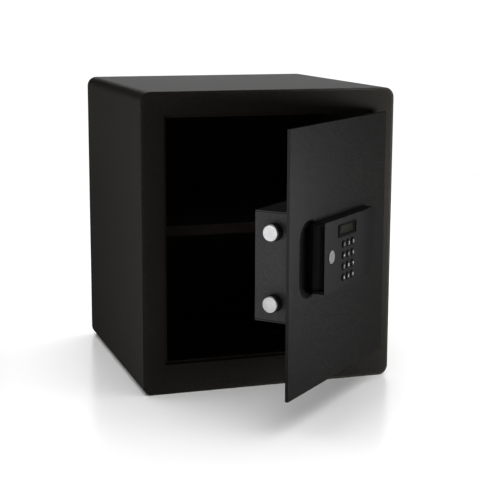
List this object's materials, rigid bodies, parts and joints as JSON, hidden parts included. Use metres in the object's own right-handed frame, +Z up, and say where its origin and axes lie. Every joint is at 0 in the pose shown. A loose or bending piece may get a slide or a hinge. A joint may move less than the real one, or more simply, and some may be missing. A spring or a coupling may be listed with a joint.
{
  "type": "safe",
  "caption": "Compact steel safe with a hinged door, motor-driven locking bolts, a keypad pull handle, a shelf and anchor holes.",
  "frame": {"origin": "middle of the body's underside", "axes": "+Z up, +X to the right seen from the front, +Y towards the back"},
  "size_m": [0.35, 0.5441, 0.4],
  "materials": {
    "shell_paint": "satin powder coat",
    "door_paint": "satin powder coat",
    "case_paint": "satin powder coat",
    "mat_fabric": "short pile",
    "housing_plastic": "satin",
    "black_plastic": "matte",
    "key_rubber": "matte",
    "dome_rubber": "matte",
    "circuit_board": "satin",
    "lcd": "satin",
    "window_glass": "clear",
    "bolt_chrome": "polished",
    "zinc_steel": "zinc plated",
    "brass": "machined",
    "cylinder_chrome": "satin",
    "bush_plastic": "matte",
    "cell_wrap": "gloss",
    "cable_sheath": "matte",
    "reset_plastic": "satin"
  },
  "bodies": {
    "safe_body": {"body_wrap": "shell_paint", "back_panel": "shell_paint", "front_frame": "shell_paint", "door_stop": "shell_paint", "hinge_lug_upper": "shell_paint", "hinge_lug_lower": "shell_paint", "hinge_pin_upper": "zinc_steel", "hinge_pin_lower": "zinc_steel", "shelf_rails": "shell_paint", "shelf": "shell_paint", "shelf_mat": "mat_fabric", "floor_mat": "mat_fabric"},
    "door": {"door_plate": "door_paint", "hinge_arm_upper": "door_paint", "hinge_arm_lower": "door_paint", "hinge_arm_nuts": "zinc_steel", "finger_cup": "black_plastic", "keypad_housing": "housing_plastic", "keypad_board": "circuit_board", "key_dome_sheet": "dome_rubber", "display_bezel": "housing_plastic", "display_panel": "lcd", "display_window": "window_glass", "handle_screws": "zinc_steel", "lock_tray": "case_paint", "lock_cover": "case_paint", "lock_case_screws": "zinc_steel", "bolt_guide": "zinc_steel", "bolt_bushes": "bush_plastic", "motor_bracket": "zinc_steel", "motor_gearbox": "brass", "lock_motor": "zinc_steel", "control_board": "circuit_board", "battery_holder": "black_plastic", "battery_cells": "cell_wrap", "ribbon_cable": "cable_sheath", "override_cylinder": "cylinder_chrome"},
    "bolts": {"bolt_carriage": "zinc_steel", "bolt_upper": "bolt_chrome", "bolt_lower": "bolt_chrome", "bolt_screws": "zinc_steel"},
    "pinion": {"drive_pinion": "brass"},
    "override": {"override_plug": "brass", "override_cam": "zinc_steel"},
    "keyhole_cover": {"key_cover": "cylinder_chrome"},
    "battery_door": {"battery_cover": "black_plastic"},
    "reset": {"reset_button": "reset_plastic"},
    "key_1_cap": {"key_1": "key_rubber"},
    "key_2_cap": {"key_2": "key_rubber"},
    "key_3_cap": {"key_3": "key_rubber"},
    "key_4_cap": {"key_4": "key_rubber"},
    "key_5_cap": {"key_5": "key_rubber"},
    "key_6_cap": {"key_6": "key_rubber"},
    "key_7_cap": {"key_7": "key_rubber"},
    "key_8_cap": {"key_8": "key_rubber"},
    "key_9_cap": {"key_9": "key_rubber"},
    "key_clear_cap": {"key_clear": "key_rubber"},
    "key_0_cap": {"key_0": "key_rubber"},
    "key_enter_cap": {"key_enter": "key_rubber"}
  },
  "joints": [
    {"name": "door_swing", "type": "hinge", "parent": "safe_body", "child": "door", "pos_m": [0.163, -0.1503, 0.205], "axis": [0, 0, 1], "range_deg": [-43.1, 52]},
    {"name": "bolt_throw", "type": "slide", "parent": "door", "child": "bolts", "axis": [0.7302, 0.6833, 0], "range_m": [0, 0.013]},
    {"name": "pinion_spin", "type": "hinge", "parent": "door", "child": "pinion", "pos_m": [0.02093, -0.289, 0.238], "axis": [0.6833, -0.7302, 0], "range_deg": [0, 124.8]},
    {"name": "override_turn", "type": "hinge", "parent": "door", "child": "override", "pos_m": [0.01125, -0.31655, 0.2063], "axis": [0.6833, -0.7302, 0], "range_deg": [0, 90]},
    {"name": "keyhole_cover_pull", "type": "slide", "parent": "door", "child": "keyhole_cover", "axis": [0.6833, -0.7302, 0], "range_m": [0, 0.008]},
    {"name": "battery_cover_slide", "type": "slide", "parent": "door", "child": "battery_door", "axis": [0, 0, 1], "range_m": [0, 0.03]},
    {"name": "reset_press", "type": "slide", "parent": "door", "child": "reset", "axis": [0.6833, -0.7302, 0], "range_m": [0, 0.001], "stiffness_N_per_m": 600},
    {"name": "key_1_press", "type": "slide", "parent": "door", "child": "key_1_cap", "axis": [-0.6833, 0.7302, 0], "range_m": [0, 0.0012], "stiffness_N_per_m": 600},
    {"name": "key_2_press", "type": "slide", "parent": "door", "child": "key_2_cap", "axis": [-0.6833, 0.7302, 0], "range_m": [0, 0.0012], "stiffness_N_per_m": 600},
    {"name": "key_3_press", "type": "slide", "parent": "door", "child": "key_3_cap", "axis": [-0.6833, 0.7302, 0], "range_m": [0, 0.0012], "stiffness_N_per_m": 600},
    {"name": "key_4_press", "type": "slide", "parent": "door", "child": "key_4_cap", "axis": [-0.6833, 0.7302, 0], "range_m": [0, 0.0012], "stiffness_N_per_m": 600},
    {"name": "key_5_press", "type": "slide", "parent": "door", "child": "key_5_cap", "axis": [-0.6833, 0.7302, 0], "range_m": [0, 0.0012], "stiffness_N_per_m": 600},
    {"name": "key_6_press", "type": "slide", "parent": "door", "child": "key_6_cap", "axis": [-0.6833, 0.7302, 0], "range_m": [0, 0.0012], "stiffness_N_per_m": 600},
    {"name": "key_7_press", "type": "slide", "parent": "door", "child": "key_7_cap", "axis": [-0.6833, 0.7302, 0], "range_m": [0, 0.0012], "stiffness_N_per_m": 600},
    {"name": "key_8_press", "type": "slide", "parent": "door", "child": "key_8_cap", "axis": [-0.6833, 0.7302, 0], "range_m": [0, 0.0012], "stiffness_N_per_m": 600},
    {"name": "key_9_press", "type": "slide", "parent": "door", "child": "key_9_cap", "axis": [-0.6833, 0.7302, 0], "range_m": [0, 0.0012], "stiffness_N_per_m": 600},
    {"name": "key_clear_press", "type": "slide", "parent": "door", "child": "key_clear_cap", "axis": [-0.6833, 0.7302, 0], "range_m": [0, 0.0012], "stiffness_N_per_m": 600},
    {"name": "key_0_press", "type": "slide", "parent": "door", "child": "key_0_cap", "axis": [-0.6833, 0.7302, 0], "range_m": [0, 0.0012], "stiffness_N_per_m": 600},
    {"name": "key_enter_press", "type": "slide", "parent": "door", "child": "key_enter_cap", "axis": [-0.6833, 0.7302, 0], "range_m": [0, 0.0012], "stiffness_N_per_m": 600}
  ],
  "couplings": [
    {"joint": "pinion_spin", "follows": "bolt_throw", "rad_per_m": 166.67}
  ]
}
